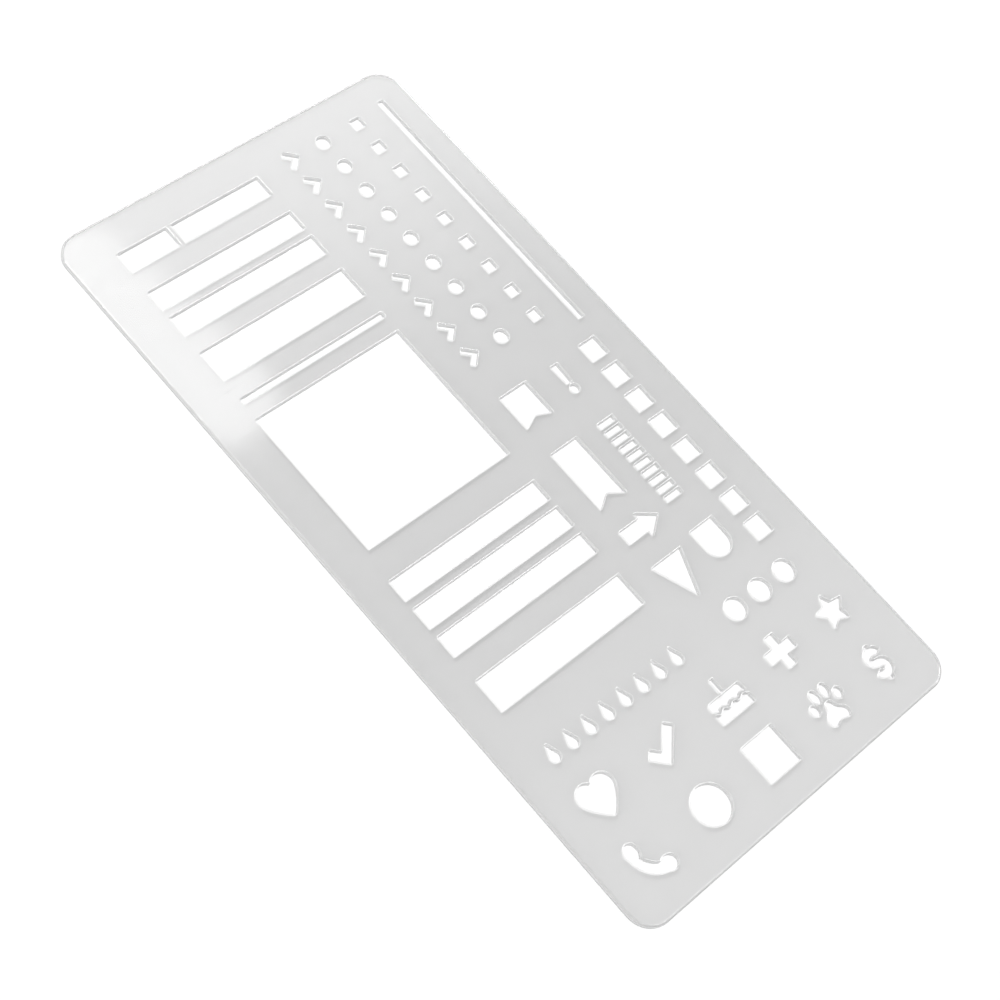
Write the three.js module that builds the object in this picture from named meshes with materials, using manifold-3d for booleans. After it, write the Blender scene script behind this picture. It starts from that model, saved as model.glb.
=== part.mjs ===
// Planner stencil: one flat clear plastic sheet with rounded corners and cut-outs to draw through.
// Millimetres, +Z up. The origin is under the middle of the sheet, which lies on the plane z = 0.
// +Y runs up the page that the stencil draws and +X runs across it.
import * as THREE from "three";
import { mergeVertices } from "three/addons/utils/BufferGeometryUtils.js";
import Module from "manifold-3d";

// Sheet
const SHEET_THICKNESS = 1.5;
const CORNER_RADIUS = 6.35;
const LEFT_MARGIN = 9.05;
const RIGHT_MARGIN = 7.1;
const BOTTOM_MARGIN = 7.2;
const PLANNER_TOP_MARGIN = 9.7;
const GRID_TOP_MARGIN = 7.35;
const LINE_TOP_MARGIN = 7.8;
const COLUMN_GAP = 7.4;

// Planner column: boxes and writing lines for one day, flush on the right below an inset header
const ROW_HEIGHT = 5.7;
const ROW_GAP = 2.45;
const TALL_ROW_HEIGHT = 8.7;
const SHORT_ROW_LENGTH = 42.2;
const LONG_ROW_LENGTH = 44.2;
const HEADER_ROW_LENGTH = 41.25;
const HEADER_INSET = 0.45;
const DATE_BOX_LENGTH = 14.0;
const DATE_BOX_WEB = 1.45;
const RULE_HEIGHT = 1.5;
const DAY_BOX_WIDTH = 42.7;
const DAY_BOX_HEIGHT = 39.5;
const HEADER_GAP = 6.25;
const NOTE_GAP = 5.4;
const RULE_GAP = 5.75;
const DAY_BOX_GAP = 4.6;
const LIST_GAP = 8.6;
const MEMO_GAP = 7.0;

// Bullet grid: rows of a chevron, a dot and a tick box, with a long line beside them
const GRID_ROWS = 9;
const GRID_ROW_GAP = 2.68;
const GRID_INSET = 1.05;
const CHEVRON_REACH = 2.5;
const CHEVRON_RISE = 2.3;
const CHEVRON_STROKE = 1.35;
const DOT_DIAMETER = 3.6;
const TICK_BOX = 3.0;
const CHEVRON_DOT_GAP = 5.8;
const DOT_TICK_GAP = 7.75;
const TICK_LINE_GAP = 7.05;
const LINE_WIDTH = 1.65;
const LINE_LENGTH = 75.4;

// Flags, pointers and counters below the grid
const LOWER_BLOCK_GAP = 5.7;
const FLAG_WIDTH = 8.4;
const SHORT_FLAG_HEIGHT = 9.8;
const SHORT_FLAG_NOTCH = 1.8;
const LONG_FLAG_HEIGHT = 17.4;
const LONG_FLAG_NOTCH = 2.6;
const FLAG_GAP = 8.25;
const ARROW_LENGTH = 11.2;
const ARROW_HEAD_LENGTH = 4.9;
const ARROW_HEAD_HEIGHT = 7.0;
const ARROW_SHAFT_HEIGHT = 3.7;
const ARROW_GAP = 5.0;
const POINTER_WIDTH = 9.6;
const POINTER_HEIGHT = 11.5;
const POINTER_GAP = 5.75;
const ALERT_BAR_HEIGHT = 5.6;
const ALERT_BAR_TOP = 2.2;
const ALERT_BAR_FOOT = 1.6;
const ALERT_WEB = 0.7;
const ALERT_DOT = 2.4;
const LADDER_SLOTS = 10;
const LADDER_SLOT_LENGTH = 5.0;
const LADDER_SLOT_HEIGHT = 1.45;
const LADDER_WEB = 1.13;
const LADDER_GAP = 8.7;
const TAB_WIDTH = 7.45;
const TAB_HEIGHT = 9.15;
const TAB_GAP = 8.7;
const MARK_COLUMN_GAP = 2.9;
const CHECK_BOX = 5.3;
const CHECK_BOX_GAP = 2.96;
const CHECK_BOXES = 8;
const CHECK_COLUMN_GAP = 5.05;

// Tracker row: water drops on the left and rings on the right
const TRACKER_GAP = 4.65;
const DROPS = 8;
const DROP_WIDTH = 2.7;
const DROP_HEIGHT = 4.9;
const DROP_GAP = 2.8;
const DROP_INSET = 1.15;
const RINGS = 3;
const RING_DIAMETER = 5.6;
const RING_GAP = 2.8;
const RING_INSET = 6.5;

// Two rows of pictograms
const ICON_MARGIN = 8.3;
const UPPER_ICON_DROP = 6.05;
const UPPER_ICON_GAP = 9.25;
const LOWER_ICON_DROP = 5.97;
const LOWER_ICON_GAP = 9.6;
const HEART_WIDTH = 10.2;
const HEART_HEIGHT = 9.6;
const HEART_LOBE_RADIUS = 2.9;
const HEART_SHOULDER = THREE.MathUtils.degToRad(30);
const HEART_SIDE_PULL = 3.2;
const TICK_STROKE = 2.45;
const TICK_SHORT_RUN = 2.9;
const TICK_LONG_RUN = 5.7;
const CAKE_WIDTH = 10.4;
const CAKE_TIER_HEIGHT = 2.45;
const CAKE_ICING_HEIGHT = 2.1;
const CAKE_CORNER_RADIUS = 0.9;
const CAKE_WAVE_PITCH = 3.1;
const CAKE_WAVE_RISE = 0.35;
const CAKE_WEB = 1.0;
const CANDLE_WIDTH = 1.2;
const CANDLE_HEIGHT = 3.5;
const CANDLE_WEB = 0.6;
const PLUS_SIZE = 8.6;
const PLUS_ARM = 2.8;
const STAR_POINTS = 5;
const STAR_RADIUS = 4.75;
const STAR_INNER_RADIUS = 2.35;
const STAR_TIP_ROUNDING = 0.9;
const HANDSET_RADIUS = 6.35;
const HANDSET_SWEEP = THREE.MathUtils.degToRad(90);
const HANDSET_TILT = THREE.MathUtils.degToRad(219);
const HANDSET_GRIP = 2.5;
const HANDSET_CUP_LENGTH = 4.2;
const HANDSET_CUP_WIDTH = 3.6;
const HANDSET_CUP_INSET = 0.35;
const CIRCLE_DIAMETER = 9.7;
const SQUARE_SIDE = 9.95;
const PAW_PAD_WIDTH = 6.5;
const PAW_PAD_HEIGHT = 5.6;
const PAW_PAD_NOTCH = 0.65;
const PAW_WEB = 0.6;
const PAW_TOE_WIDTH = 2.45;
const PAW_TOE_HEIGHT = 3.5;
const PAW_TOE_TILT = THREE.MathUtils.degToRad(10);
const PAW_OUTER_TOE_HEIGHT = 2.85;
const PAW_OUTER_TOE_TILT = THREE.MathUtils.degToRad(16);
const PAW_OUTER_TOE_REACH = 3.9;
const PAW_OUTER_TOE_RISE = 5.6;
const DOLLAR_WIDTH = 5.55;
const DOLLAR_HEIGHT = 8.05;
const DOLLAR_STROKE = 1.9;
const DOLLAR_OPENING = THREE.MathUtils.degToRad(12);
const DOLLAR_STUB_WIDTH = 1.15;
const DOLLAR_STUB_LENGTH = 0.7;

// Fineness of round stretches, and how far a cutter stands out of the sheet on each side
const CURVE_STEPS = 8;
const STROKE_STEPS = 12;
const CUTTER_OVERSHOOT = 1.0;

// Outlines. A mark is a list of closed outlines in a frame of its own.

function polygon(corners) {
  return new THREE.Shape(corners.map(([x, y]) => new THREE.Vector2(x, y)));
}

function rectangle(width, height) {
  return polygon([
    [0, 0],
    [width, 0],
    [width, height],
    [0, height],
  ]);
}

// A full turn is drawn as two half turns, so that it gets twice the steps of one arc.
function ellipse(width, height, tilt = 0, x = 0, y = 0) {
  const shape = new THREE.Shape();
  shape.absellipse(x, y, width / 2, height / 2, 0, Math.PI, false, tilt);
  shape.absellipse(x, y, width / 2, height / 2, Math.PI, 2 * Math.PI, false, tilt);
  return shape;
}

function disc(diameter, x = 0, y = 0) {
  return ellipse(diameter, diameter, 0, x, y);
}

function squareTo(direction) {
  return new THREE.Vector2(-direction.y, direction.x);
}

// A line of even width along a path, with mitred turns and square ends.
function stroke(path, width) {
  const left = [];
  const right = [];
  path.forEach((point, i) => {
    const last = path.length - 1;
    const start = path[Math.max(i - 1, 0)];
    const end = path[Math.min(i + 1, last)];
    const arriving = (i > 0 ? point : end).clone().sub(start).normalize();
    const leaving = end.clone().sub(i < last ? point : start).normalize();
    const mitre = squareTo(arriving).add(squareTo(leaving)).normalize();
    mitre.multiplyScalar(width / 2 / mitre.dot(squareTo(leaving)));
    left.push(point.clone().add(mitre));
    right.push(point.clone().sub(mitre));
  });
  return new THREE.Shape([...right, ...left.reverse()]);
}

function arcPath(radiusX, radiusY, centreY, from, to) {
  return Array.from({ length: STROKE_STEPS + 1 }, (_, i) => {
    const angle = from + ((to - from) * i) / STROKE_STEPS;
    return new THREE.Vector2(radiusX * Math.cos(angle), centreY + radiusY * Math.sin(angle));
  });
}

// Marks

function headerRow() {
  const title = rectangle(HEADER_ROW_LENGTH - DATE_BOX_LENGTH - DATE_BOX_WEB, ROW_HEIGHT);
  return [rectangle(DATE_BOX_LENGTH, ROW_HEIGHT), shifted(title, DATE_BOX_LENGTH + DATE_BOX_WEB, 0)];
}

function chevron() {
  const path = [
    new THREE.Vector2(0, -CHEVRON_RISE),
    new THREE.Vector2(CHEVRON_REACH, 0),
    new THREE.Vector2(0, CHEVRON_RISE),
  ];
  return [stroke(path, CHEVRON_STROKE)];
}

function flag(height, notch) {
  return [
    polygon([
      [0, 0],
      [FLAG_WIDTH / 2, notch],
      [FLAG_WIDTH, 0],
      [FLAG_WIDTH, height],
      [0, height],
    ]),
  ];
}

function arrow() {
  const neck = ARROW_LENGTH - ARROW_HEAD_LENGTH;
  const shaft = ARROW_SHAFT_HEIGHT / 2;
  const head = ARROW_HEAD_HEIGHT / 2;
  return [
    polygon([
      [0, -shaft],
      [neck, -shaft],
      [neck, -head],
      [ARROW_LENGTH, 0],
      [neck, head],
      [neck, shaft],
      [0, shaft],
    ]),
  ];
}

function pointer() {
  return [
    polygon([
      [0, POINTER_HEIGHT],
      [POINTER_WIDTH / 2, 0],
      [POINTER_WIDTH, POINTER_HEIGHT],
    ]),
  ];
}

function alertMark() {
  const foot = ALERT_DOT + ALERT_WEB;
  const bar = polygon([
    [-ALERT_BAR_FOOT / 2, foot],
    [ALERT_BAR_FOOT / 2, foot],
    [ALERT_BAR_TOP / 2, foot + ALERT_BAR_HEIGHT],
    [-ALERT_BAR_TOP / 2, foot + ALERT_BAR_HEIGHT],
  ]);
  return [bar, disc(ALERT_DOT, 0, ALERT_DOT / 2)];
}

function ladder() {
  const pitch = LADDER_SLOT_HEIGHT + LADDER_WEB;
  return Array.from({ length: LADDER_SLOTS }, (_, i) =>
    shifted(rectangle(LADDER_SLOT_LENGTH, LADDER_SLOT_HEIGHT), 0, i * pitch),
  );
}

// A tab has a flat top and a half-round foot.
function tab() {
  const radius = TAB_WIDTH / 2;
  const shape = new THREE.Shape();
  shape.moveTo(radius, TAB_HEIGHT);
  shape.lineTo(-radius, TAB_HEIGHT);
  shape.absarc(0, radius, radius, Math.PI, 2 * Math.PI);
  return [shape];
}

// A drop is a round foot with two tangents that meet in its tip.
function drop() {
  const radius = DROP_WIDTH / 2;
  const tip = DROP_HEIGHT - radius;
  const lift = Math.asin(radius / tip);
  const shape = new THREE.Shape();
  shape.absarc(0, 0, radius, Math.PI - lift, 1.5 * Math.PI);
  shape.absarc(0, 0, radius, -0.5 * Math.PI, lift);
  shape.lineTo(0, tip);
  return [shape];
}

// A heart is two round lobes whose sides curve in from the shoulders to meet in its tip.
function heart() {
  const offset = HEART_WIDTH / 2 - HEART_LOBE_RADIUS;
  const tip = HEART_HEIGHT - HEART_LOBE_RADIUS;
  const cleft = Math.acos(offset / HEART_LOBE_RADIUS);
  const sideX = offset + HEART_LOBE_RADIUS * Math.cos(HEART_SHOULDER);
  const sideY = -HEART_LOBE_RADIUS * Math.sin(HEART_SHOULDER);
  const bendX = sideX - HEART_SIDE_PULL * Math.sin(HEART_SHOULDER);
  const bendY = sideY - HEART_SIDE_PULL * Math.cos(HEART_SHOULDER);
  const shape = new THREE.Shape();
  shape.absarc(offset, 0, HEART_LOBE_RADIUS, -HEART_SHOULDER, Math.PI - cleft);
  shape.absarc(-offset, 0, HEART_LOBE_RADIUS, cleft, Math.PI + HEART_SHOULDER);
  shape.quadraticCurveTo(-bendX, bendY, 0, -tip);
  shape.quadraticCurveTo(bendX, bendY, sideX, sideY);
  return [shape];
}

function tick() {
  const path = [
    new THREE.Vector2(-TICK_SHORT_RUN, TICK_SHORT_RUN),
    new THREE.Vector2(0, 0),
    new THREE.Vector2(TICK_LONG_RUN, TICK_LONG_RUN),
  ];
  return [stroke(path, TICK_STROKE)];
}

// A cake has a lower tier and an icing with a wavy web between them, and one candle on top.
function cake() {
  const half = CAKE_WIDTH / 2;
  const icingFoot = CAKE_TIER_HEIGHT + CAKE_WEB;
  const icingTop = icingFoot + CAKE_ICING_HEIGHT;
  const steps = Math.ceil(CAKE_WIDTH / CAKE_WAVE_PITCH) * CURVE_STEPS;
  const wave = Array.from({ length: steps + 1 }, (_, i) => {
    const x = -half + (CAKE_WIDTH * i) / steps;
    return [x, CAKE_WAVE_RISE * Math.sin((2 * Math.PI * x) / CAKE_WAVE_PITCH)];
  });
  const tier = new THREE.Shape();
  tier.moveTo(-half, 0);
  tier.lineTo(half, 0);
  [...wave].reverse().forEach(([x, y]) => tier.lineTo(x, CAKE_TIER_HEIGHT + y));
  const icing = new THREE.Shape();
  icing.setFromPoints(wave.map(([x, y]) => new THREE.Vector2(x, icingFoot + y)));
  const round = CAKE_CORNER_RADIUS;
  icing.absarc(half - round, icingTop - round, round, 0, Math.PI / 2);
  icing.absarc(round - half, icingTop - round, round, Math.PI / 2, Math.PI);
  const candle = shifted(rectangle(CANDLE_WIDTH, CANDLE_HEIGHT), -CANDLE_WIDTH / 2, icingTop + CANDLE_WEB);
  return [tier, icing, candle];
}

function plus() {
  const end = PLUS_SIZE / 2;
  const arm = PLUS_ARM / 2;
  return [
    polygon([
      [-arm, -end],
      [arm, -end],
      [arm, -arm],
      [end, -arm],
      [end, arm],
      [arm, arm],
      [arm, end],
      [-arm, end],
      [-arm, arm],
      [-end, arm],
      [-end, -arm],
      [-arm, -arm],
    ]),
  ];
}

// A star's tips are curves that start and end a little way down the two sides.
function star() {
  const corner = (i) => {
    const radius = i % 2 ? STAR_INNER_RADIUS : STAR_RADIUS;
    const angle = Math.PI / 2 + (i * Math.PI) / STAR_POINTS;
    return new THREE.Vector2(radius * Math.cos(angle), radius * Math.sin(angle));
  };
  const shape = new THREE.Shape();
  for (let i = 0; i < 2 * STAR_POINTS; i += 2) {
    const tip = corner(i);
    const downSide = (notch) => notch.clone().sub(tip).setLength(STAR_TIP_ROUNDING).add(tip);
    const start = downSide(corner(i - 1));
    const end = downSide(corner(i + 1));
    if (i === 0) shape.moveTo(start.x, start.y);
    else shape.lineTo(start.x, start.y);
    shape.quadraticCurveTo(tip.x, tip.y, end.x, end.y);
    const notch = corner(i + 1);
    shape.lineTo(notch.x, notch.y);
  }
  return [shape];
}

// A handset is a curved grip with a round cup at each end, turned in towards the middle of the curve.
function handset() {
  const first = HANDSET_TILT - HANDSET_SWEEP / 2;
  const last = HANDSET_TILT + HANDSET_SWEEP / 2;
  const cupRadius = HANDSET_RADIUS - HANDSET_CUP_INSET;
  const grip = stroke(arcPath(HANDSET_RADIUS, HANDSET_RADIUS, 0, first, last), HANDSET_GRIP);
  const cups = [first, last].map((angle) =>
    ellipse(
      HANDSET_CUP_WIDTH,
      HANDSET_CUP_LENGTH,
      angle,
      cupRadius * Math.cos(angle),
      cupRadius * Math.sin(angle),
    ),
  );
  return [grip, ...cups];
}

// A paw is a three-cornered pad with two upper toes and two outer toes.
function paw() {
  const half = PAW_PAD_WIDTH / 2;
  const top = PAW_PAD_HEIGHT;
  const pad = new THREE.Shape();
  pad.moveTo(0, PAW_PAD_NOTCH);
  pad.bezierCurveTo(0.3 * half, PAW_PAD_NOTCH, 0.4 * half, 0, 0.65 * half, 0);
  pad.bezierCurveTo(0.85 * half, 0, half, 0.1 * top, half, 0.24 * top);
  pad.bezierCurveTo(half, 0.46 * top, 0.52 * half, 0.52 * top, 0.42 * half, 0.72 * top);
  pad.bezierCurveTo(0.34 * half, 0.9 * top, 0.22 * half, top, 0, top);
  pad.bezierCurveTo(-0.22 * half, top, -0.34 * half, 0.9 * top, -0.42 * half, 0.72 * top);
  pad.bezierCurveTo(-0.52 * half, 0.52 * top, -half, 0.46 * top, -half, 0.24 * top);
  pad.bezierCurveTo(-half, 0.1 * top, -0.85 * half, 0, -0.65 * half, 0);
  pad.bezierCurveTo(-0.4 * half, 0, -0.3 * half, PAW_PAD_NOTCH, 0, PAW_PAD_NOTCH);
  const toeBox = boxOf([ellipse(PAW_TOE_WIDTH, PAW_TOE_HEIGHT, PAW_TOE_TILT)]);
  const toeX = toeBox.max.x + PAW_WEB / 2;
  const toeY = PAW_PAD_HEIGHT + PAW_WEB + toeBox.max.y;
  const toes = [-1, 1].flatMap((side) => [
    ellipse(PAW_TOE_WIDTH, PAW_TOE_HEIGHT, -side * PAW_TOE_TILT, side * toeX, toeY),
    ellipse(
      PAW_TOE_WIDTH,
      PAW_OUTER_TOE_HEIGHT,
      -side * PAW_OUTER_TOE_TILT,
      side * PAW_OUTER_TOE_REACH,
      PAW_OUTER_TOE_RISE,
    ),
  ]);
  return [pad, ...toes];
}

// A dollar sign is two bows drawn as one stroke, with a short stub above and below.
function dollar() {
  const bowX = (DOLLAR_WIDTH - DOLLAR_STROKE) / 2;
  const bowY = (DOLLAR_HEIGHT - DOLLAR_STROKE) / 4;
  const upper = arcPath(bowX, bowY, bowY, DOLLAR_OPENING, 1.5 * Math.PI);
  const lower = arcPath(bowX, bowY, -bowY, 0.5 * Math.PI, DOLLAR_OPENING - Math.PI);
  const bows = stroke([...upper, ...lower.slice(1)], DOLLAR_STROKE);
  const stubReach = DOLLAR_STUB_LENGTH + DOLLAR_STROKE / 2;
  const stubs = [bowY * 2, -bowY * 2 - stubReach].map((foot) =>
    shifted(rectangle(DOLLAR_STUB_WIDTH, stubReach), -DOLLAR_STUB_WIDTH / 2, foot),
  );
  return [bows, ...stubs];
}

// Layout. Distances run right from the left edge of the sheet and down from its top edge.

function shifted(shape, x, y) {
  const points = shape.getPoints(CURVE_STEPS);
  return new THREE.Shape(points.map((point) => point.clone().add(new THREE.Vector2(x, y))));
}

function boxOf(mark) {
  const points = mark.flatMap((shape) => shape.getPoints(CURVE_STEPS));
  return new THREE.Box2().setFromPoints(points);
}

function widthOf(mark) {
  const box = boxOf(mark);
  return box.max.x - box.min.x;
}

function heightOf(mark) {
  const box = boxOf(mark);
  return box.max.y - box.min.y;
}

const cuts = [];

function place(mark, left, depth) {
  const box = boxOf(mark);
  for (const shape of mark) cuts.push(shifted(shape, left - box.min.x, -depth - box.max.y));
}

function placeCentred(mark, centreX, centreDepth) {
  place(mark, centreX - widthOf(mark) / 2, centreDepth - heightOf(mark) / 2);
}

function repeat(count, mark) {
  return Array.from({ length: count }, () => mark);
}

function rowWidth(marks, gap) {
  return marks.reduce((sum, mark) => sum + widthOf(mark), 0) + gap * (marks.length - 1);
}

function rowHeight(marks) {
  return Math.max(...marks.map(heightOf));
}

// Marks side by side with even gaps, centred on one line across the sheet.
function placeRow(marks, left, centreDepth, gap) {
  let x = left;
  for (const mark of marks) {
    place(mark, x, centreDepth - heightOf(mark) / 2);
    x += widthOf(mark) + gap;
  }
}

const shortRow = [rectangle(SHORT_ROW_LENGTH, ROW_HEIGHT)];
const shortTallRow = [rectangle(SHORT_ROW_LENGTH, TALL_ROW_HEIGHT)];
const rule = [rectangle(SHORT_ROW_LENGTH, RULE_HEIGHT)];
const dayBox = [rectangle(DAY_BOX_WIDTH, DAY_BOX_HEIGHT)];
const longRow = [rectangle(LONG_ROW_LENGTH, ROW_HEIGHT)];
const longTallRow = [rectangle(LONG_ROW_LENGTH, TALL_ROW_HEIGHT)];
const longLine = [rectangle(LINE_WIDTH, LINE_LENGTH)];
const gridRow = [chevron(), [disc(DOT_DIAMETER)], [rectangle(TICK_BOX, TICK_BOX)]];
const checkBox = [rectangle(CHECK_BOX, CHECK_BOX)];
const drops = repeat(DROPS, drop());
const rings = repeat(RINGS, [disc(RING_DIAMETER)]);
const upperIcons = [heart(), tick(), cake(), plus(), star()];
const lowerIcons = [
  handset(),
  [disc(CIRCLE_DIAMETER)],
  [rectangle(SQUARE_SIDE, SQUARE_SIDE)],
  paw(),
  dollar(),
];

// Each planner row comes with the gap above it and its inset from the column's right side.
const plannerRows = [
  [headerRow(), PLANNER_TOP_MARGIN, HEADER_INSET],
  [shortRow, HEADER_GAP, 0],
  [shortRow, ROW_GAP, 0],
  [shortTallRow, NOTE_GAP, 0],
  [rule, RULE_GAP, 0],
  [dayBox, DAY_BOX_GAP, 0],
  [longRow, LIST_GAP, 0],
  [longRow, ROW_GAP, 0],
  [longRow, ROW_GAP, 0],
  [longTallRow, MEMO_GAP, 0],
];
const plannerWidth = Math.max(
  ...plannerRows.map(([mark, , inset]) => widthOf(mark) + inset),
  DROP_INSET + rowWidth(drops, DROP_GAP),
);
const plannerRight = LEFT_MARGIN + plannerWidth;
let plannerFoot = 0;
for (const [mark, gapAbove, inset] of plannerRows) {
  place(mark, plannerRight - inset - widthOf(mark), plannerFoot + gapAbove);
  plannerFoot += gapAbove + heightOf(mark);
}

const markLeft = plannerRight + COLUMN_GAP;
const gridPitch = rowHeight(gridRow) + GRID_ROW_GAP;
const chevronLeft = markLeft + GRID_INSET;
const dotLeft = chevronLeft + widthOf(gridRow[0]) + CHEVRON_DOT_GAP;
const tickLeft = dotLeft + DOT_DIAMETER + DOT_TICK_GAP;
const lineLeft = tickLeft + TICK_BOX + TICK_LINE_GAP;
for (let i = 0; i < GRID_ROWS; i++) {
  const centre = GRID_TOP_MARGIN + rowHeight(gridRow) / 2 + i * gridPitch;
  gridRow.forEach((mark, k) => {
    place(mark, [chevronLeft, dotLeft, tickLeft][k], centre - heightOf(mark) / 2);
  });
}
place(longLine, lineLeft, LINE_TOP_MARGIN);
const gridFoot = GRID_TOP_MARGIN + GRID_ROWS * gridPitch - GRID_ROW_GAP;
const lowerTop = Math.max(gridFoot, LINE_TOP_MARGIN + LINE_LENGTH) + LOWER_BLOCK_GAP;

const alert = alertMark();
const shortFlag = flag(SHORT_FLAG_HEIGHT, SHORT_FLAG_NOTCH);
const firstRowHeight = Math.max(heightOf(shortFlag), heightOf(alert));
const firstRowFoot = lowerTop + firstRowHeight;
const flagCentre = markLeft + Math.max(FLAG_WIDTH, POINTER_WIDTH) / 2;
const longFlagTop = firstRowFoot + FLAG_GAP;
const arrowTop = longFlagTop + LONG_FLAG_HEIGHT + ARROW_GAP;
const pointerTop = arrowTop + ARROW_HEAD_HEIGHT + POINTER_GAP;
placeCentred(shortFlag, flagCentre, lowerTop + firstRowHeight / 2);
placeCentred(flag(LONG_FLAG_HEIGHT, LONG_FLAG_NOTCH), flagCentre, longFlagTop + LONG_FLAG_HEIGHT / 2);
place(arrow(), markLeft, arrowTop);
placeCentred(pointer(), flagCentre, pointerTop + POINTER_HEIGHT / 2);

const rungs = ladder();
const counterWidth = Math.max(widthOf(alert), LADDER_SLOT_LENGTH, TAB_WIDTH);
const counterLeft = markLeft + Math.max(ARROW_LENGTH, FLAG_WIDTH, POINTER_WIDTH) + MARK_COLUMN_GAP;
const counterCentre = counterLeft + counterWidth / 2;
const ladderTop = firstRowFoot + LADDER_GAP;
const tabTop = ladderTop + heightOf(rungs) + TAB_GAP;
placeCentred(alert, counterCentre, lowerTop + firstRowHeight / 2);
placeCentred(rungs, counterCentre, ladderTop + heightOf(rungs) / 2);
placeCentred(tab(), counterCentre, tabTop + TAB_HEIGHT / 2);

const checkLeft = counterLeft + counterWidth + CHECK_COLUMN_GAP;
for (let i = 0; i < CHECK_BOXES; i++) {
  place(checkBox, checkLeft, lowerTop + i * (CHECK_BOX + CHECK_BOX_GAP));
}
const checkFoot = lowerTop + CHECK_BOXES * (CHECK_BOX + CHECK_BOX_GAP) - CHECK_BOX_GAP;

const upperFoot = Math.max(plannerFoot, pointerTop + POINTER_HEIGHT, tabTop + TAB_HEIGHT, checkFoot);
const trackerTop = upperFoot + TRACKER_GAP;
const trackerHeight = rowHeight([...drops, ...rings]);
placeRow(drops, LEFT_MARGIN + DROP_INSET, trackerTop + DROP_HEIGHT / 2, DROP_GAP);
placeRow(rings, markLeft + RING_INSET, trackerTop + trackerHeight / 2, RING_GAP);

const upperIconTop = trackerTop + trackerHeight + UPPER_ICON_DROP;
const lowerIconTop = upperIconTop + rowHeight(upperIcons) + LOWER_ICON_DROP;
placeRow(upperIcons, ICON_MARGIN, upperIconTop + rowHeight(upperIcons) / 2, UPPER_ICON_GAP);
placeRow(lowerIcons, ICON_MARGIN, lowerIconTop + rowHeight(lowerIcons) / 2, LOWER_ICON_GAP);

const contentRight = Math.max(
  lineLeft + LINE_WIDTH,
  checkLeft + CHECK_BOX,
  markLeft + RING_INSET + rowWidth(rings, RING_GAP),
  ICON_MARGIN + rowWidth(upperIcons, UPPER_ICON_GAP),
  ICON_MARGIN + rowWidth(lowerIcons, LOWER_ICON_GAP),
);
const sheetWidth = contentRight + RIGHT_MARGIN;
const sheetLength = lowerIconTop + rowHeight(lowerIcons) + BOTTOM_MARGIN;

// Sheet: the blank, with each cutter taken out of it

function roundedBlank() {
  const radius = CORNER_RADIUS;
  const shape = new THREE.Shape();
  shape.absarc(sheetWidth - radius, -radius, radius, 0, Math.PI / 2);
  shape.absarc(radius, -radius, radius, Math.PI / 2, Math.PI);
  shape.absarc(radius, radius - sheetLength, radius, Math.PI, 1.5 * Math.PI);
  shape.absarc(sheetWidth - radius, radius - sheetLength, radius, 1.5 * Math.PI, 2 * Math.PI);
  return shape;
}

const wasm = await Module();
wasm.setup();

function solid(shape, depth, bottom) {
  const extruded = new THREE.ExtrudeGeometry(shape, {
    depth,
    bevelEnabled: false,
    curveSegments: CURVE_STEPS,
  });
  extruded.translate(0, 0, bottom);
  extruded.deleteAttribute("normal");
  extruded.deleteAttribute("uv");
  const merged = mergeVertices(extruded);
  return new wasm.Manifold(
    new wasm.Mesh({
      numProp: 3,
      vertProperties: merged.attributes.position.array,
      triVerts: new Uint32Array(merged.index.array),
    }),
  );
}

function geometryOf(body) {
  const mesh = body.getMesh();
  const geometry = new THREE.BufferGeometry();
  geometry.setAttribute("position", new THREE.BufferAttribute(mesh.vertProperties, mesh.numProp));
  geometry.setIndex(new THREE.BufferAttribute(mesh.triVerts, 1));
  geometry.computeVertexNormals();
  return geometry;
}

const cutterDepth = SHEET_THICKNESS + 2 * CUTTER_OVERSHOOT;
const sheetBody = cuts.reduce(
  (body, shape) => body.subtract(solid(shape, cutterDepth, -CUTTER_OVERSHOOT)),
  solid(roundedBlank(), SHEET_THICKNESS, 0),
);

const clearPlastic = new THREE.MeshStandardMaterial({
  color: 0xd6d8d8,
  roughness: 0.06,
  metalness: 0,
  transparent: true,
  opacity: 0.35,
});

const stencilSheet = new THREE.Mesh(geometryOf(sheetBody), clearPlastic);
stencilSheet.name = "stencil_sheet";
stencilSheet.position.set(-sheetWidth / 2, sheetLength / 2, 0);

const plannerStencil = new THREE.Group();
plannerStencil.name = "planner_stencil";
plannerStencil.add(stencilSheet);

export default plannerStencil;
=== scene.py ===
"""A planner stencil: one clear plastic sheet with laser-cut openings, lying on a white table."""

import math

import bmesh
import bpy
from mathutils import Matrix, Vector


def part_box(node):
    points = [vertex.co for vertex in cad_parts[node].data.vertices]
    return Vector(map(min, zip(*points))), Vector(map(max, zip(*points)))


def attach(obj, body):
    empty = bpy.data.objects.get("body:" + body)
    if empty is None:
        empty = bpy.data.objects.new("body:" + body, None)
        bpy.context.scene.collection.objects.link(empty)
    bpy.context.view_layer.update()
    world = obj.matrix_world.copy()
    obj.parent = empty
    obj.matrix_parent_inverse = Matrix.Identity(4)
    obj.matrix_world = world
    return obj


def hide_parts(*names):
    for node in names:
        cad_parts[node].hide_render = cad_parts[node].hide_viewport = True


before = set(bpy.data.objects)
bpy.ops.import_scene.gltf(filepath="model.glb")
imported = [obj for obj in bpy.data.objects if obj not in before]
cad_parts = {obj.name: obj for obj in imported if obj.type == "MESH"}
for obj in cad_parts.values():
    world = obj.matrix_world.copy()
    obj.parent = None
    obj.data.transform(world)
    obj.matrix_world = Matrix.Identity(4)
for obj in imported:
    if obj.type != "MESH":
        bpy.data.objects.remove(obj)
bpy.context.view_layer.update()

MM = 0.001
UP = Vector((0.0, 0.0, 1.0))

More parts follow.
